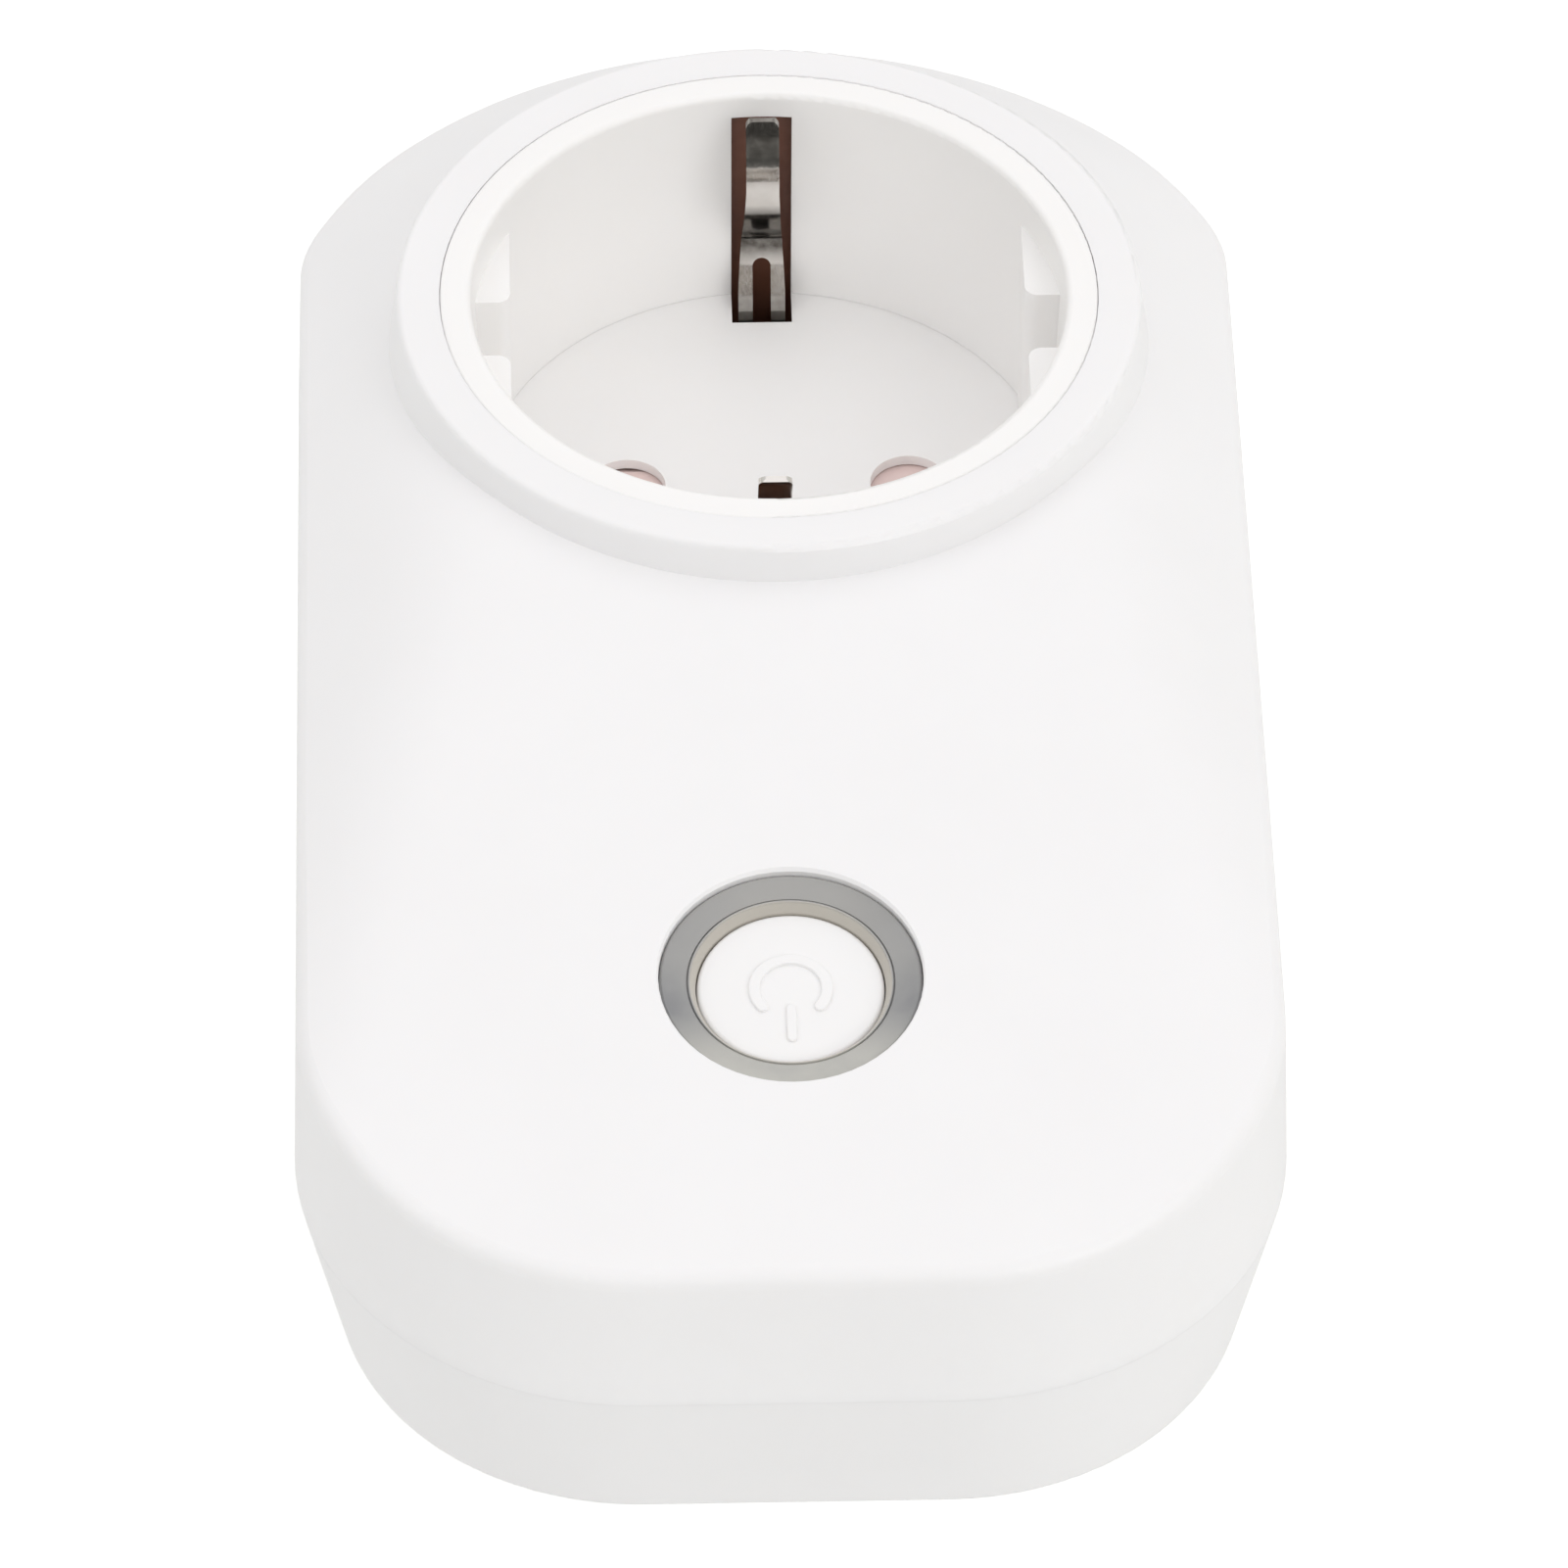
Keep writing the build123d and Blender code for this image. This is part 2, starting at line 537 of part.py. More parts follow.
def live_pin_strip():
    """Strip from the live pin's tail up the wall of the plug body to the board wires."""
    low = -9.9
    thickness = 0.8
    washer = block((STRIP_X[0], PIN_X + 2.8), (-2.8, 2.8), (low, low + thickness))
    washer -= rod(1.62, low - 1, low + 2, PIN_X, 0)
    foot = block(STRIP_X, (-13.0, -2.0), (low, low + thickness))
    riser = block(STRIP_X, (-13.0, -12.4), (low, BOARD_TOP))
    tab = block(STRIP_X, (-23.0, -12.4), (BOARD_TOP - 0.6, BOARD_TOP))
    return washer + foot + riser + tab


def plug_earth_strip(side):
    """Side contact of the plug, running up through the housing floor."""
    half = EARTH_STRIP_W / 2
    y_span = sorted((side * EARTH_STRIP_Y, side * (EARTH_STRIP_Y + EARTH_STRIP_T)))
    strip = block((-half, half), y_span, (-BOSS_DEPTH + 1.2, 6.9))
    outer_y = side * (EARTH_STRIP_Y + EARTH_STRIP_T)
    bulge = Pos(0, outer_y, -9.5) * Rot(0, 90, 0) * Cylinder(6.0, EARTH_STRIP_W - 1.6)
    bulge = Pos(0, -side * 5.6, 0) * bulge
    limit = sorted((side * EARTH_STRIP_Y, side * (BOSS_R + 0.5)))
    return strip + (bulge & block((-half, half), limit, (-BOSS_DEPTH + 2, -2)))


def earth_bridge():
    """Bar that joins the earth springs, the plug's side strips and the earth-pin contact."""
    bar = block((-2.4, 2.4), (-EARTH_STRIP_Y + SEATED, EARTH_STRIP_Y - SEATED), (6.05, 6.85))
    return bar - rod(1.25, 5, 8, 0, EARTH_HOLE_Y)


def earth_pin_socket():
    """Split sleeve that grips the fixed earth pin found in some wall sockets."""
    sleeve = rod(3.2, -BOSS_DEPTH + BOSS_PLATE_T + 0.4, -2.0, 0, EARTH_HOLE_Y)
    sleeve -= rod(2.1, -BOSS_DEPTH, -3.0, 0, EARTH_HOLE_Y)
    sleeve -= block((-0.5, 0.5), (EARTH_HOLE_Y - 4, EARTH_HOLE_Y + 4), (-BOSS_DEPTH, -6))
    return sleeve + rod(1.2, -2.5, 6.85, 0, EARTH_HOLE_Y)


# ---- button and light ring -------------------------------------------------------------------
def light_ring():
    """Dished translucent ring with a groove and bead at its mouth, a flange and a tube below."""
    dish = [(RING_R, -0.12), (RING_R - 0.15, 0), (RING_MOUTH_R + 0.24, -RING_DISH)]
    groove = [(RING_MOUTH_R + 0.23, -RING_DISH - 0.2), (RING_MOUTH_R + 0.13, -RING_DISH - 0.2)]
    bead = [(RING_MOUTH_R + 0.12, -RING_DISH + 0.04), (RING_MOUTH_R + 0.03, -RING_DISH + 0.04),
            (RING_MOUTH_R, -RING_DISH - 0.1)]
    bore = [(RING_BORE_R, -RING_LIP), (RING_BORE_R, -5.0), (7.3, -5.0), (7.3, -3.6)]
    flange = [(9.6, -3.6), (9.6, -2.75), (RING_R, -2.75)]
    return button_frame() * spin(dish + groove + bead + bore + flange)


def power_button():
    """Cap with a raised power symbol, a stop flange and a stem."""
    skirt_z = -6.2
    cap = rod(BUTTON_R, skirt_z, -RING_LIP)
    cap = fillet(cap.edges().sort_by(Axis.Z)[-1], 0.3)
    cap += rod(BUTTON_FLANGE_R, skirt_z, -5.05)
    stem_tip_z = SWITCH_PLUNGER_TOP + 0.06
    length = (button_frame().origin.Z - stem_tip_z) / cos(radians(BUTTON_TILT))
    stem = rod(BUTTON_STEM_R, -length, -2.0)
    stem = fillet(stem.edges().sort_by(Axis.Z)[0], 0.8 * BUTTON_STEM_R)
    cap = cap - rod(4.9, skirt_z - 1, -2.4) + stem
    return button_frame() * (cap + Pos(0, -0.1, -RING_LIP) * power_symbol())


def power_symbol():
    """Raised open ring and bar, rounded on top."""
    z_span = (-0.1, SYMBOL_HEIGHT)
    end_r = SYMBOL_STROKE / 2
    ring = rod(SYMBOL_R, *z_span) - rod(SYMBOL_R - SYMBOL_STROKE, -1, 1)
    gap_x = 5 * tan(radians(SYMBOL_GAP_ANGLE))
    gap = make_face(Polyline([(0, 0), (-gap_x, -5), (gap_x, -5)], close=True))
    ring -= Pos(0, 0, -1) * extrude(gap, amount=2)
    mid_r = SYMBOL_R - end_r
    for side in SIDES:
        angle = radians(-90 + side * SYMBOL_GAP_ANGLE)
        ring += rod(end_r, *z_span, mid_r * cos(angle), mid_r * sin(angle))
    bar_r = end_r - 0.05
    bar = block((-bar_r, bar_r), SYMBOL_BAR, z_span)
    bar += rod(bar_r, *z_span, 0, SYMBOL_BAR[0]) + rod(bar_r, *z_span, 0, SYMBOL_BAR[1])
    symbol = ring + bar
    tops = symbol.faces().filter_by(Axis.Z).group_by(Axis.Z)[-1]
    return fillet(tops.edges(), 0.1)


# ---- board and its parts ---------------------------------------------------------------------
def switch_y():
    """Where the tilted button axis meets the switch plunger."""
    frame = button_frame()
    return BUTTON_Y + (frame.origin.Z - SWITCH_PLUNGER_TOP) * tan(radians(BUTTON_TILT))


def main_board():
    outline_2d = Pos(0, -51.0) * RectangleRounded(52, 50, 2)
    board = Pos(0, 0, BOARD_Z) * extrude(outline_2d, amount=BOARD_T)
    corner = Pos(0, -48.0, BOARD_Z - 1) * extrude(RectangleRounded(54, 60, 18), amount=BOARD_T + 2)
    board &= corner + block((-30, 30), (-55, -20), (BOARD_Z - 1, BOARD_Z + BOARD_T + 1))
    for x, y in HOUSING_SCREW_XY[2:]:
        board -= rod(4.8, BOARD_Z - 1, BOARD_TOP + 1, x, y)
    for x, y in BOARD_SCREW_XY:
        board -= rod(1.4, BOARD_Z - 1, BOARD_TOP + 1, x, y)
    return board


def tact_switch_body():
    y = switch_y()
    body = block((-3, 3), (y - 3, y + 3), (BOARD_TOP + SEATED, SWITCH_BODY_TOP))
    body = fillet(body.edges().filter_by(Axis.Z), 0.3)
    return body - rod(1.8, BOARD_TOP + 1.2, SWITCH_BODY_TOP + 1, 0, y)


def tact_switch_plunger():
    y = switch_y()
    stem = rod(1.75, SWITCH_BODY_TOP - 1.4, SWITCH_PLUNGER_TOP, 0, y)
    return chamfer(stem.edges().sort_by(Axis.Z)[-1], 0.2)


def status_leds():
    """Two round light-emitting diodes on legs under the light ring."""
    leds = []
    for side in SIDES:
        x = side * 6.7
        y = switch_y() - 1.0
        lens = rod(1.5, 13.0, 16.6, x, y) + Pos(x, y, 16.6) * Sphere(1.5) + rod(1.75, 13.0, 13.9, x, y)
        legs = block((x - 0.25, x + 0.25), (y - 0.9, y - 0.4), (BOARD_TOP + SEATED, 13.2))
        legs += block((x - 0.25, x + 0.25), (y + 0.4, y + 0.9), (BOARD_TOP + SEATED, 13.2))
        leds.append((lens + legs).solids()[0])
    return Compound(children=leds)


def relay_case():
    """Hollow cover over the relay."""
    case = block(RELAY_X, RELAY_Y, (BOARD_TOP + SEATED, RELAY_TOP))
    case = fillet(case.edges().filter_by(Axis.Z), 0.6)
    case = fillet(case.faces().sort_by(Axis.Z)[-1].edges(), 0.4)
    wall = 0.8
    inside = block((RELAY_X[0] + wall, RELAY_X[1] - wall), (RELAY_Y[0] + wall, RELAY_Y[1] - wall),
                   (BOARD_TOP - 1, RELAY_TOP - wall))
    return case - inside


def relay_base():
    gap = 0.9
    return block((RELAY_X[0] + gap, RELAY_X[1] - gap), (RELAY_Y[0] + gap, RELAY_Y[1] - gap),
                 (BOARD_TOP + SEATED, BOARD_TOP + 1.5))


def relay_yoke():
    """Steel frame: bottom limb, upright limb and the coil's core."""
    half = 4.0
    limb = block((YOKE_X[0], COIL_X + 4), (RELAY_MID_Y - half, RELAY_MID_Y + half),
                 (BOARD_TOP + 1.55, BOARD_TOP + 2.55))
    upright = block(YOKE_X, (RELAY_MID_Y - half, RELAY_MID_Y + half), (BOARD_TOP + 1.55, ARMATURE_Z - 0.03))
    core = rod(2.0, BOARD_TOP + 2.0, CORE_TOP - 0.8, COIL_X, RELAY_MID_Y)
    core += rod(3.2, CORE_TOP - 0.8, CORE_TOP, COIL_X, RELAY_MID_Y)
    return limb + upright + core


def relay_coil():
    """Bobbin and copper winding round the core."""
    low = BOARD_TOP + 2.6
    high = CORE_TOP - 0.85
    coil = rod(4.6, low + 0.7, high - 0.7, COIL_X, RELAY_MID_Y)
    coil += rod(5.4, low, low + 0.7, COIL_X, RELAY_MID_Y) + rod(5.4, high - 0.7, high, COIL_X, RELAY_MID_Y)
    return coil - rod(2.05, low - 1, high + 1, COIL_X, RELAY_MID_Y)


def relay_armature():
    """Steel plate that tilts on the yoke, with the contact blade on its free end."""
    low = ARMATURE_Z
    plate = block((YOKE_X[0], COIL_X + 3.6), (RELAY_MID_Y - 3.8, RELAY_MID_Y + 3.8), (low, low + 1.0))
    blade = block((COIL_X + 3.0, -7.0), (RELAY_MID_Y - 1.8, RELAY_MID_Y + 1.8), (low + 0.4, low + 0.8))
    return plate + blade + rod(1.3, low - 0.5, low + 0.8, -8.6, RELAY_MID_Y)


def relay_contacts():
    """Fixed contact post beside the coil."""
    post = block((-7.4, -6.6), (RELAY_MID_Y - 2, RELAY_MID_Y + 2), (BOARD_TOP + 1.6, CORE_TOP - 1.0))
    shelf = block((-9.2, -6.6), (RELAY_MID_Y - 1.5, RELAY_MID_Y + 1.5), (CORE_TOP - 1.5, CORE_TOP - 1.0))
    return post + shelf + rod(1.2, CORE_TOP - 1.1, CORE_TOP - 0.65, -8.2, RELAY_MID_Y)


def transformer_core():
    x, y = TRANSFORMER_XY
    core = block((x - 7, x + 7), (y - 2.6, y + 2.6), (BOARD_TOP + 1.2, BOARD_TOP + 13.2))
    window = block((x - 4.8, x + 4.8), (y - 3, y + 3), (BOARD_TOP + 3.2, BOARD_TOP + 11.2))
    limb = block((x - 1.6, x + 1.6), (y - 2.6, y + 2.6), (BOARD_TOP + 3, BOARD_TOP + 11.5))
    return core - window + limb


def transformer_winding():
    x, y = TRANSFORMER_XY
    wound = block((x - 4.7, x + 4.7), (y - 5.6, y + 5.6), (BOARD_TOP + 3.9, BOARD_TOP + 10.5))
    wound = fillet(wound.edges().filter_by(Axis.Z), 1.5)
    end = block((x - 4.7, x + 4.7), (y - 6.2, y + 6.2), (BOARD_TOP + 3.3, BOARD_TOP + 3.9))
    end += Pos(0, 0, 7.2) * end
    return wound + end - block((x - 1.7, x + 1.7), (y - 2.7, y + 2.7), (BOARD_TOP + 2, BOARD_TOP + 12))


def capacitor(x, y, radius, height):
    """Upright electrolytic can with its rolled groove."""
    low = BOARD_TOP + 0.3
    can = rod(radius, low, low + height, x, y)
    can = fillet(can.edges(), 0.4)
    can -= rod(radius + 1, low + 1.4, low + 2.0, x, y) - rod(radius - 0.35, low, low + 3, x, y)
    vent_x = (x - radius * 0.6, x + radius * 0.6)
    can -= block(vent_x, (y - 0.15, y + 0.15), (low + height - 0.2, low + height + 1))
    for leg_y in (y - 1.2, y + 1.2):
        can += rod(0.35, BOARD_TOP + SEATED, low + 1, x, leg_y)
    return can


def varistor():
    disc = Pos(-18.5, -54.5, BOARD_TOP + 6.2) * Rot(90, 0, 0) * Cylinder(4.4, 3.0)
    disc = fillet(disc.edges(), 0.9)
    legs = rod(0.4, BOARD_TOP + SEATED, BOARD_TOP + 4, -20.8, -54.5)
    legs += rod(0.4, BOARD_TOP + SEATED, BOARD_TOP + 4, -16.2, -54.5)
    return disc + legs


def fuse_resistor():
    body = Pos(-17, -61.0, BOARD_TOP + 2.3) * Rot(0, 90, 0) * Cylinder(1.9, 8.5)
    body = fillet(body.edges(), 0.5)
    lead_r = 0.35
    lead_x = (-22.2, -11.8)
    body += Pos(-17, -61.0, BOARD_TOP + 2.3) * Rot(0, 90, 0) * Cylinder(lead_r, lead_x[1] - lead_x[0])
    for x in lead_x:
        body += rod(lead_r, BOARD_TOP + SEATED, BOARD_TOP + 2.5, x, -61.0)
    return body


def gull_wing_chip(x, y, width, length, height, leads, pitch):
    """Flat chip package with leads on its two long sides."""
    low = BOARD_TOP + 0.25
    package = block((x - width / 2, x + width / 2), (y - length / 2, y + length / 2), (low, low + height))
    package = chamfer(package.faces().sort_by(Axis.Z)[-1].edges(), 0.2)
    for index in range(leads):
        lead_y = y + (index - (leads - 1) / 2) * pitch
        for side in SIDES:
            reach = sorted((x + side * (width / 2 - 0.2), x + side * (width / 2 + 1.0)))
            package += block(reach, (lead_y - 0.22, lead_y + 0.22), (BOARD_TOP + SEATED, BOARD_TOP + 0.4))
    return package


def wireless_board():
    """Upright daughter board that carries the radio module."""
    board = block((-10.0, 12.0), (-71.6, -70.6), (BOARD_TOP + SEATED, BOARD_TOP + 12.5))
    return fillet(board.edges().filter_by(Axis.Y), 0.5)


def wireless_shield():
    """Pressed metal can over the radio chip."""
    can = block((-7.5, 4.5), (-70.58, -68.2), (BOARD_TOP + 1.5, BOARD_TOP + 11.0))
    can = fillet(can.faces().sort_by(Axis.Y)[-1].edges(), 0.35)
    return can - block((-7.2, 4.2), (-71, -68.5), (BOARD_TOP + 1.8, BOARD_TOP + 10.7))


def header_pins():
    """Four-way pin header for programming."""
    header = block((-5.1, 5.1), (-66.3, -63.8), (BOARD_TOP + SEATED, BOARD_TOP + 2.5))
    for index in range(4):
        x = -3.81 + 2.54 * index
        header += block((x - 0.32, x + 0.32), (-65.37, -64.73), (BOARD_TOP + 1, BOARD_TOP + 7.5))
    return header


def wire(points):
    """Insulated wire that leaves a tab and turns down to the board."""
    path = Spline(points, tangents=[(0, -1, 0.4), (0, 0, -1)])
    section = Plane(origin=path @ 0, z_dir=path % 0) * Circle(WIRE_R)
    return sweep(section, path)


def neutral_wire():
    return wire([(-PIN_X, -20.5, 6.5), (-PIN_X, -24.5, 8.4), (-8.5, -28.0, 9.8), (-8.0, -30.0, WIRE_END_Z)])


def load_wire():
    return wire([(PIN_X + 1, -20.5, 6.5), (11.0, -24.5, 8.4), (11.5, -28.0, 9.8), (12.0, -30.0, WIRE_END_Z)])


def live_wire():
    return wire([(5.1, -20.5, 8.2), (4.9, -24.5, 9.2), (4.2, -28.0, 9.9), (3.5, -30.0, WIRE_END_Z)])


# ---- fasteners -------------------------------------------------------------------------------
def screw_group(places, under_head_z, facing, **sizes):
    """Equal screws at several places; facing turns the shank up (0) or down (180)."""
    turned = Rot(facing, 0, 0) * screw(**sizes)
    return Compound(children=[(Pos(x, y, under_head_z) * turned).solids()[0] for x, y in places])


def housing_screws():
    under_head_z = HOUSING_SCREW_HEAD_Z - SEATED
    return screw_group(HOUSING_SCREW_XY, under_head_z, 0, head_r=2.7, head_h=2.0, shank_r=1.3, length=12.5)


def board_screws():
    under_head_z = BOARD_TOP + SEATED
    return screw_group(BOARD_SCREW_XY, under_head_z, 180, head_r=2.2, head_h=1.4, shank_r=1.0, length=4.4)


def retainer_screws():
    under_head_z = SHUTTER_RETAINER_Z[0] - SEATED
    return screw_group(RETAINER_SCREW_XY, under_head_z, 0, head_r=2.0, head_h=1.2, shank_r=1.0, length=5.4)


PARTS = {
    "front_cover": front_cover,
    "back_housing": back_housing,
    "socket_inlay": socket_inlay,
    "socket_floor": socket_floor,
    "slot_liners": slot_liners,
    "earth_clip_upper": lambda: earth_clip(1),
    "earth_clip_lower": lambda: earth_clip(-1),
    "shutter": shutter,
    "shutter_spring": shutter_spring,
    "shutter_retainer": shutter_retainer,
    "contact_block": contact_block,
    "live_contact": lambda: sleeve_contact(PIN_X),
    "neutral_contact": lambda: sleeve_contact(-PIN_X),
    "live_pin": lambda: plug_pin(PIN_X, -9.2),
    "neutral_pin": lambda: plug_pin(-PIN_X, CONTACT_Z[0] - 0.65),
    "live_pin_strip": live_pin_strip,
    "plug_earth_strip_upper": lambda: plug_earth_strip(1),
    "plug_earth_strip_lower": lambda: plug_earth_strip(-1),
    "earth_bridge": earth_bridge,
    "earth_pin_socket": earth_pin_socket,
    "light_ring": light_ring,
    "power_button": power_button,
    "main_board": main_board,
    "tact_switch_body": tact_switch_body,
    "tact_switch_plunger": tact_switch_plunger,
    "status_leds": status_leds,
    "relay_case": relay_case,
    "relay_base": relay_base,
    "relay_yoke": relay_yoke,
    "relay_coil": relay_coil,
    "relay_armature": relay_armature,
    "relay_contacts": relay_contacts,
    "transformer_core": transformer_core,
    "transformer_winding": transformer_winding,
    "input_capacitor": lambda: capacitor(19.5, -54.0, 4.5, 13.0),
    "output_capacitor": lambda: capacitor(11.5, -61.5, 3.2, 9.0),
    "varistor": varistor,
    "fuse_resistor": fuse_resistor,
    "bridge_rectifier": lambda: gull_wing_chip(10.0, -52.5, 5.0, 6.5, 2.4, 2, 4.0),
    "supply_chip": lambda: gull_wing_chip(-11.5, -52.5, 3.9, 4.9, 1.5, 4, 1.27),
    "wireless_board": wireless_board,
    "wireless_shield": wireless_shield,
    "header_pins": header_pins,
    "neutral_wire": neutral_wire,
    "load_wire": load_wire,
    "live_wire": live_wire,
    "housing_screws": housing_screws,
    "board_screws": board_screws,
    "retainer_screws": retainer_screws,
}


def placed(part):
    """The finished part moved to its place above the origin, solid by solid."""
    solids = [Pos(0, AXIS_ABOVE_ORIGIN, 0) * solid for solid in part.solids()]
    return solids[0] if len(solids) == 1 else Compound(children=solids)


os.makedirs("parts", exist_ok=True)
for name, build in PARTS.items():
    export_step(placed(build()), f"parts/{name}.step")
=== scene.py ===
import json

import bpy
from mathutils import Matrix, Vector


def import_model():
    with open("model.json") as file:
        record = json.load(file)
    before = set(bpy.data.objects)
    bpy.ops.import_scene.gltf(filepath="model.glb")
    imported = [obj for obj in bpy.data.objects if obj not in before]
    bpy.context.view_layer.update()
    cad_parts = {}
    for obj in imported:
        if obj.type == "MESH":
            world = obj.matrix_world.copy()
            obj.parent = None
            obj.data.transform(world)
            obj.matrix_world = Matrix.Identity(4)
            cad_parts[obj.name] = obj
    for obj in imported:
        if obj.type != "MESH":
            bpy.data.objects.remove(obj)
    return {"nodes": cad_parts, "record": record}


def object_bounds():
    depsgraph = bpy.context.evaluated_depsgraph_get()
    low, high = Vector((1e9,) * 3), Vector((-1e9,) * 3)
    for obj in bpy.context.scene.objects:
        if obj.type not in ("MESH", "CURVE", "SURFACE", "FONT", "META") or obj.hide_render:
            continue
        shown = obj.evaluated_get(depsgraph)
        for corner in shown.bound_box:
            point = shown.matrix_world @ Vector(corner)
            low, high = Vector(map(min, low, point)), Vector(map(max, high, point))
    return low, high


# Looks for the smart plug: procedural materials on the CAD nodes, studio light, floor and camera.
# Metres, same frame as the CAD: +Z out to the user, +Y towards the socket end, +X to the right.

# ---- studio ----------------------------------------------------------------------------------
FLOOR_GAP = 0.0005         # the floor lies this far under the lowest point
CAMERA_PLACE = (-0.01618, -0.53345, 0.55758)
CAMERA_RIGHT = (0.99966, -0.02577, 0.00433)
CAMERA_UP = (0.01502, 0.70223, 0.71179)
CAMERA_BACK = (-0.02138, -0.71148, 0.70238)
SENSOR_WIDTH = 36.0
FOCAL_LENGTH = 269.83
SKY_ZENITH = (0.83, 0.82, 0.832)
SKY_HORIZON = (0.665, 0.67, 0.63)
SKY_FRONT = (0.14, 0.14, 0.135)    # the dark room behind the camera
FRONT_EDGE, FRONT_FULL = -0.70, -0.95      # direction along Y where the dark room starts and is full
FRONT_TOP, FRONT_FULL_TOP = 0.42, 0.22     # the same upwards
FLOOR_SIZE = 8.0
FLOOR_COLOUR = (0.90, 0.905, 0.895)
FLOOR_LIFT = 0.30          # the floor looks as white as the paper of a light tent

LIGHT_TARGET = (0, 0.02, 0)
# name: (place, diameter, watts, colour)
LIGHTS = {
    "key_above": ((0.15, 0.65, 1.1), 1.2, 1.2, (1.0, 0.985, 0.99)),
    "front_right": ((0.76, -0.84, 0.80), 0.9, 4.0, (1.0, 0.992, 0.975)),
    "left_fill": ((-0.80, -0.15, 0.80), 0.8, 1.0, (1.0, 0.995, 0.99)),
}

# ---- material recipes ------------------------------------------------------------------------
# slot: (base colour, second colour, roughness, bump strength, grains per metre, softness)
PLASTICS = {
    "white_shell": ((0.93, 0.925, 0.93), (0.92, 0.914, 0.918), 0.40, 0.06, 5200, 0.12),
    "white_inlay": ((0.975, 0.966, 0.955), (0.968, 0.958, 0.946), 0.40, 0.05, 6000, 0.12),
    "brown_liner": ((0.17, 0.068, 0.040), (0.13, 0.050, 0.030), 0.50, 0.12, 4200, 0.0),
    "shutter_pink": ((0.86, 0.69, 0.66), (0.83, 0.65, 0.62), 0.42, 0.06, 5000, 0.08),
    "button_white": ((0.935, 0.932, 0.93), (0.925, 0.92, 0.918), 0.38, 0.05, 7000, 0.12),
    "black_block": ((0.018, 0.018, 0.020), (0.028, 0.028, 0.030), 0.55, 0.10, 4000, 0.0),
    "chip_black": ((0.012, 0.012, 0.014), (0.022, 0.022, 0.024), 0.48, 0.14, 9000, 0.0),
    "board_green": ((0.010, 0.075, 0.035), (0.014, 0.105, 0.048), 0.28, 0.06, 2600, 0.0),
    "relay_blue": ((0.020, 0.065, 0.21), (0.026, 0.080, 0.25), 0.30, 0.05, 5000, 0.0),
    "ferrite": ((0.022, 0.021, 0.022), (0.035, 0.033, 0.033), 0.62, 0.25, 3600, 0.0),
    "can_sleeve": ((0.010, 0.014, 0.045), (0.016, 0.022, 0.065), 0.25, 0.05, 3000, 0.0),
    "varistor_blue": ((0.018, 0.085, 0.32), (0.024, 0.105, 0.38), 0.22, 0.08, 2200, 0.0),
    "resistor_body": ((0.10, 0.27, 0.15), (0.13, 0.32, 0.19), 0.40, 0.10, 3000, 0.0),
    "wire_blue": ((0.012, 0.045, 0.36), (0.016, 0.060, 0.42), 0.42, 0.05, 4200, 0.0),
    "wire_brown": ((0.095, 0.030, 0.012), (0.12, 0.040, 0.016), 0.42, 0.05, 4200, 0.0),
    "led_white": ((0.72, 0.76, 0.80), (0.66, 0.70, 0.75), 0.12, 0.02, 5000, 0.3),
}
# slot: (colour, darker colour, roughness low, roughness high, brush stretch, bump strength)
METALS = {
    "spring_steel": ((0.74, 0.715, 0.68), (0.62, 0.59, 0.55), 0.09, 0.18, 14.0, 0.04),
    "plated_brass": ((0.70, 0.66, 0.58), (0.55, 0.50, 0.42), 0.18, 0.34, 8.0, 0.06),
    "copper_wire": ((0.62, 0.26, 0.11), (0.42, 0.15, 0.06), 0.24, 0.40, 40.0, 0.30),
    "shield_tin": ((0.66, 0.66, 0.65), (0.52, 0.52, 0.51), 0.22, 0.38, 6.0, 0.05),
    "screw_steel": ((0.58, 0.58, 0.57), (0.40, 0.40, 0.39), 0.24, 0.44, 5.0, 0.08),
}

# grey light ring; the border of its steep lip is counted in radii of the ring
RING_CENTRE_Y = -0.0120
RING_RADIUS = 0.00835
LIP_START, LIP_END = 0.775, 0.765
RING_TOP_GREY = (0.40, 0.395, 0.38)
RING_FOOT_GREY = (0.52, 0.515, 0.48)
# painted shade: grey of the ring's sides, where the parts inside shade the frosted plastic
RING_SIDE_PAINTED_SHADE = (0.262, 0.265, 0.272)
RING_CLOUD_GREY = (0.38, 0.38, 0.375)
RING_LIP_COLOUR = (0.56, 0.53, 0.475)

# grains per metre of the noise that breaks up each look
CLOUD_GRAIN = 90
GLOSS_GRAIN = 320
WEAR_GRAIN = 900
STREAK_GRAIN = 600
PATCH_GRAIN = 260
# grain of the uneven border of the painted dark reflections on the spring
PAINTED_REFLECTION_GRAIN = 1400
RING_CLOUD_GRAIN = 380
RING_GLOSS_GRAIN = 500
RING_FINE_GRAIN = 4800
PAPER_GRAIN = 40

# worn edges: pointiness at which wear starts and is full, how much it lightens and smooths plastic
WEAR_START, WEAR_FULL = 0.56, 0.64
WEAR_TINT = 0.4
WEAR_SMOOTHING = 0.03
GLOSS_SWING = 0.02         # plastic's roughness varies by this much to either side

# how far through the plastic light spreads, for red, green and blue, and the length it is counted in
SPREAD = (0.6, 0.55, 0.5)
SPREAD_LENGTH = 0.0012

# painted dark reflections on the upper earth spring: low and high end of each band above the back face,
# strength
SPRING_PAINTED_REFLECTIONS = ((0.0294, 0.0340, 0.85), (0.0192, 0.0252, 0.95), (0.0060, 0.0165, 0.60))
SOCKET_CENTRE_Y = 0.045
# dark colour and soft border of the painted reflections on the spring
PAINTED_REFLECTION_DARK = (0.050, 0.042, 0.034)
PAINTED_REFLECTION_FADE = 0.0007


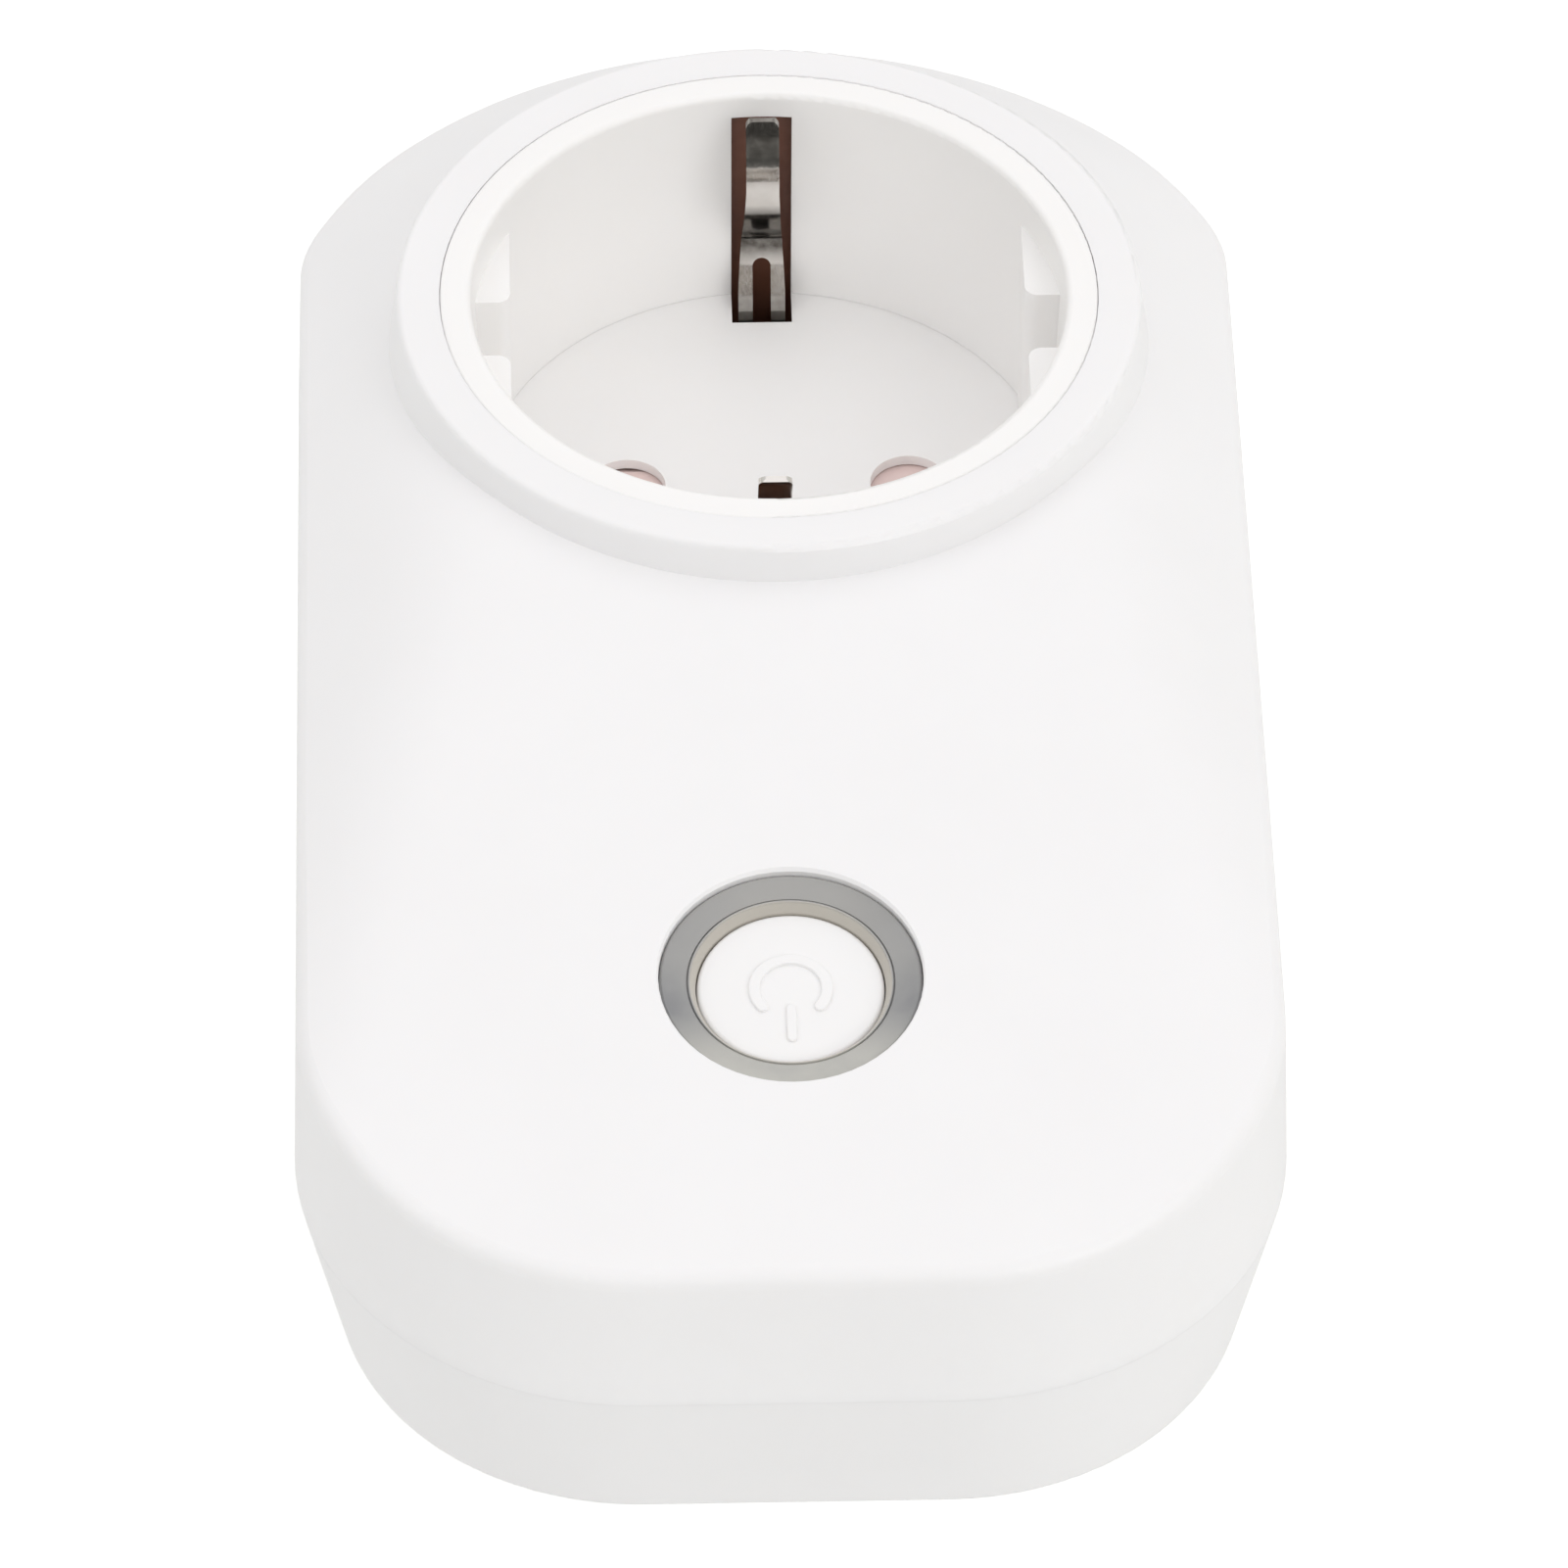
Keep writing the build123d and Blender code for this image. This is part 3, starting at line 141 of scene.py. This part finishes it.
# ---- node helpers ----------------------------------------------------------------------------
class Nodes:
    """Small builder for the node tree of a material or of the world."""

    def __init__(self, owner, shader="Principled BSDF"):
        owner.use_nodes = True
        self.tree = owner.node_tree
        self.surface = self.tree.nodes[shader]

    def add(self, kind, inputs=(), **settings):
        node = self.tree.nodes.new(kind)
        for key, value in settings.items():
            setattr(node, key, value)
        for key, value in dict(inputs).items():
            self.feed(node.inputs[key], value)
        return node

    def feed(self, socket, value):
        if isinstance(value, bpy.types.NodeSocket):
            self.tree.links.new(value, socket)
        else:
            socket.default_value = value

    def set(self, **values):
        for key, value in values.items():
            self.feed(self.surface.inputs[key.replace("_", " ")], value)

    def place(self, stretch=(1, 1, 1)):
        """Object coordinates, stretched."""
        coords = self.add("ShaderNodeTexCoord").outputs["Object"]
        return self.add("ShaderNodeMapping", {"Vector": coords, "Scale": stretch}).outputs["Vector"]

    def noise(self, vector, scale, detail=4.0, roughness=0.55):
        inputs = {"Vector": vector, "Scale": scale, "Detail": detail, "Roughness": roughness}
        return self.add("ShaderNodeTexNoise", inputs).outputs["Fac"]

    def span(self, value, low, high, out_low=0.0, out_high=1.0):
        """Maps low..high of value to out_low..out_high, clamped."""
        inputs = {"Value": value, "From Min": low, "From Max": high, "To Min": out_low, "To Max": out_high}
        return self.add("ShaderNodeMapRange", inputs).outputs["Result"]

    def mix(self, amount, first, second):
        node = self.add("ShaderNodeMix", data_type="RGBA")
        self.feed(node.inputs[0], amount)
        self.feed(node.inputs[6], opaque(first))
        self.feed(node.inputs[7], opaque(second))
        return node.outputs[2]

    def math(self, operation, first, second):
        node = self.add("ShaderNodeMath", operation=operation)
        self.feed(node.inputs[0], first)
        self.feed(node.inputs[1], second)
        return node.outputs[0]

    def edge_wear(self):
        """1 on sharp convex edges, broken up by noise."""
        pointy = self.add("ShaderNodeNewGeometry").outputs["Pointiness"]
        edge = self.span(pointy, WEAR_START, WEAR_FULL)
        patchy = self.span(self.noise(self.place(), WEAR_GRAIN), 0.4, 0.7)
        return self.math("MULTIPLY", edge, patchy)

    def bump(self, height, strength, distance=0.00002):
        inputs = {"Height": height, "Strength": strength, "Distance": distance}
        return self.add("ShaderNodeBump", inputs).outputs["Normal"]


def opaque(colour):
    if isinstance(colour, bpy.types.NodeSocket):
        return colour
    return (*colour, 1.0)


# ---- materials -------------------------------------------------------------------------------
def plastic(slot):
    """Moulded plastic: clouded colour, spark-eroded grain, worn edges, uneven gloss."""
    base, second, roughness, strength, grain, soft = PLASTICS[slot]
    material = bpy.data.materials.new(slot)
    n = Nodes(material)
    place = n.place()
    cloud = n.span(n.noise(place, CLOUD_GRAIN, 3.0), 0.35, 0.68)
    colour = n.mix(cloud, base, second)
    wear = n.edge_wear()
    lighter = tuple(min(0.97, c * 1.04 + 0.01) for c in base)
    colour = n.mix(n.math("MULTIPLY", wear, WEAR_TINT), colour, lighter)
    fine = n.noise(place, grain, 5.0, 0.6)
    uneven = n.noise(place, GLOSS_GRAIN, 4.0)
    gloss = n.span(uneven, 0.3, 0.7, roughness - GLOSS_SWING, roughness + GLOSS_SWING)
    smoothed = n.math("SUBTRACT", gloss, n.math("MULTIPLY", wear, WEAR_SMOOTHING))
    n.set(Base_Color=colour, Roughness=smoothed, Normal=n.bump(fine, strength), IOR=1.5)
    if soft:
        n.set(Subsurface_Weight=soft, Subsurface_Radius=SPREAD, Subsurface_Scale=SPREAD_LENGTH)
    return material


def metal(slot):
    """Plated or drawn metal: brushed streaks, darker patches, brighter worn edges."""
    base, dark, smooth, rough, stretch, strength = METALS[slot]
    material = bpy.data.materials.new(slot)
    n = Nodes(material)
    brushed = n.place((stretch, stretch, 1.0))
    streak = n.noise(brushed, STREAK_GRAIN, 5.0, 0.62)
    patch = n.span(n.noise(n.place(), PATCH_GRAIN, 4.0), 0.38, 0.66)
    colour = n.mix(patch, base, dark)
    # the upper earth spring gets painted dark reflections in bands
    if slot == "spring_steel":
        colour = paint_spring_reflections(n, colour)
    wear = n.edge_wear()
    brighter = tuple(min(1.0, c * 1.2 + 0.05) for c in base)
    colour = n.mix(wear, colour, brighter)
    n.set(Base_Color=colour, Metallic=1.0, Roughness=n.span(streak, 0.3, 0.7, smooth, rough))
    n.set(Normal=n.bump(streak, strength))
    return material


def paint_spring_reflections(n, colour):
    """Paints dark reflection bands onto the upper earth spring, with a soft and slightly uneven border."""
    split = n.add("ShaderNodeSeparateXYZ", {"Vector": n.place()})
    height = split.outputs["Z"]
    on_upper = n.math("GREATER_THAN", split.outputs["Y"], SOCKET_CENTRE_Y)
    uneven = n.span(n.noise(n.place(), PAINTED_REFLECTION_GRAIN), 0.3, 0.7, 0.75, 1.0)
    uneven = n.math("MULTIPLY", uneven, on_upper)
    for low, high, strength in SPRING_PAINTED_REFLECTIONS:
        above = n.span(height, low - PAINTED_REFLECTION_FADE, low + PAINTED_REFLECTION_FADE)
        below = n.span(height, high + PAINTED_REFLECTION_FADE, high - PAINTED_REFLECTION_FADE, 0.0, strength)
        band = n.math("MULTIPLY", above, below)
        colour = n.mix(n.math("MULTIPLY", band, uneven), colour, PAINTED_REFLECTION_DARK)
    return colour


def frosted_ring():
    """Frosted light guide: grey dish with painted shade of the inner parts on its sides, lighter at the
    foot, warm on the steep lip.
    """
    material = bpy.data.materials.new("frosted_grey")
    n = Nodes(material)
    place = n.place()
    split = n.add("ShaderNodeSeparateXYZ", {"Vector": place})
    across = n.math("DIVIDE", split.outputs["X"], RING_RADIUS)
    along = n.math("DIVIDE", n.math("SUBTRACT", split.outputs["Y"], RING_CENTRE_Y), RING_RADIUS)
    squares = n.math("ADD", n.math("POWER", across, 2.0), n.math("POWER", along, 2.0))
    radius = n.math("SQRT", squares, 0.0)
    # painted shade on the ring's sides, full low on the sides and fading towards the top
    to_side = n.span(n.math("ABSOLUTE", across, 0.0), 0.30, 0.90)
    past_foot = n.span(along, -0.75, -0.30)
    fading = n.span(along, -0.20, 0.25, 1.0, 0.45)
    painted_side_shade = n.math("MULTIPLY", to_side, n.math("MULTIPLY", past_foot, fading))
    colour = n.mix(n.span(along, 0.5, -0.8), RING_TOP_GREY, RING_FOOT_GREY)
    colour = n.mix(painted_side_shade, colour, RING_SIDE_PAINTED_SHADE)
    cloud = n.span(n.noise(place, RING_CLOUD_GRAIN, 3.0), 0.4, 0.65, 0.0, 0.3)
    colour = n.mix(cloud, colour, RING_CLOUD_GREY)
    colour = n.mix(n.span(radius, LIP_START, LIP_END), colour, RING_LIP_COLOUR)
    gloss = n.span(n.noise(place, RING_GLOSS_GRAIN, 4.0), 0.3, 0.7, 0.30, 0.42)
    n.set(Base_Color=colour, Roughness=gloss)
    n.set(Subsurface_Weight=0.2, Subsurface_Radius=(1.0, 1.0, 0.95), Subsurface_Scale=0.001)
    n.set(Normal=n.bump(n.noise(place, RING_FINE_GRAIN, 5.0, 0.6), 0.07), IOR=1.45)
    return material


def dress(nodes, record):
    """Gives every CAD node the material of its slot."""
    made = {slot: plastic(slot) for slot in PLASTICS}
    made.update({slot: metal(slot) for slot in METALS})
    made["frosted_grey"] = frosted_ring()
    for entry in record["subparts"]:
        mesh = nodes[entry["node"]].data
        mesh.materials.clear()
        mesh.materials.append(made[entry["material_slot"]])


# ---- stage -----------------------------------------------------------------------------------
def floor(height):
    """Large flat sheet of pale paper under the object."""
    bpy.ops.mesh.primitive_plane_add(size=FLOOR_SIZE, location=(0, 0, height))
    plane = bpy.context.object
    plane.name = "floor"
    material = bpy.data.materials.new("floor_paper")
    n = Nodes(material)
    cloud = n.span(n.noise(n.place(), PAPER_GRAIN, 3.0), 0.3, 0.7)
    darker = tuple(0.99 * c for c in FLOOR_COLOUR)
    n.set(Base_Color=n.mix(cloud, FLOOR_COLOUR, darker))
    seen = n.add("ShaderNodeLightPath").outputs["Is Camera Ray"]
    n.set(Roughness=0.9, Emission_Color=(1.0, 1.0, 1.0, 1.0))
    n.set(Emission_Strength=n.math("MULTIPLY", seen, FLOOR_LIFT))
    plane.data.materials.append(material)


def lights():
    for name, (place, diameter, watts, colour) in LIGHTS.items():
        data = bpy.data.lights.new(name, "AREA")
        data.shape = "DISK"
        data.size = diameter
        data.energy = watts
        data.color = colour
        lamp = bpy.data.objects.new(name, data)
        lamp.location = place
        aim = Vector(LIGHT_TARGET) - Vector(place)
        lamp.rotation_euler = aim.to_track_quat("-Z", "Y").to_euler()
        bpy.context.scene.collection.objects.link(lamp)


def world():
    """Light tent: bright overhead, greyer at the horizon and dark low down in front."""
    backdrop = bpy.data.worlds.new("studio")
    n = Nodes(backdrop, "Background")
    direction = n.add("ShaderNodeTexCoord").outputs["Generated"]
    split = n.add("ShaderNodeSeparateXYZ", {"Vector": direction})
    height = split.outputs["Z"]
    ahead = n.span(split.outputs["Y"], FRONT_EDGE, FRONT_FULL)
    low = n.span(height, FRONT_TOP, FRONT_FULL_TOP)
    colour = n.mix(n.span(height, 0.0, 0.8), SKY_HORIZON, SKY_ZENITH)
    colour = n.mix(n.math("MULTIPLY", ahead, low), colour, SKY_FRONT)
    n.set(Color=colour)
    bpy.context.scene.world = backdrop


def camera():
    data = bpy.data.cameras.new("camera")
    data.sensor_width = SENSOR_WIDTH
    data.lens = FOCAL_LENGTH
    data.clip_start = 0.05
    data.clip_end = 20.0
    eye = bpy.data.objects.new("camera", data)
    axes = Matrix((CAMERA_RIGHT, CAMERA_UP, CAMERA_BACK)).transposed()
    eye.matrix_world = Matrix.Translation(CAMERA_PLACE) @ axes.to_4x4()
    bpy.context.scene.collection.objects.link(eye)
    bpy.context.scene.camera = eye


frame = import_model()
cad_low, cad_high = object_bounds()

dress(frame["nodes"], frame["record"])
world()
lights()
camera()
floor(cad_low.z - FLOOR_GAP)
bpy.context.scene.view_settings.view_transform = "Standard"
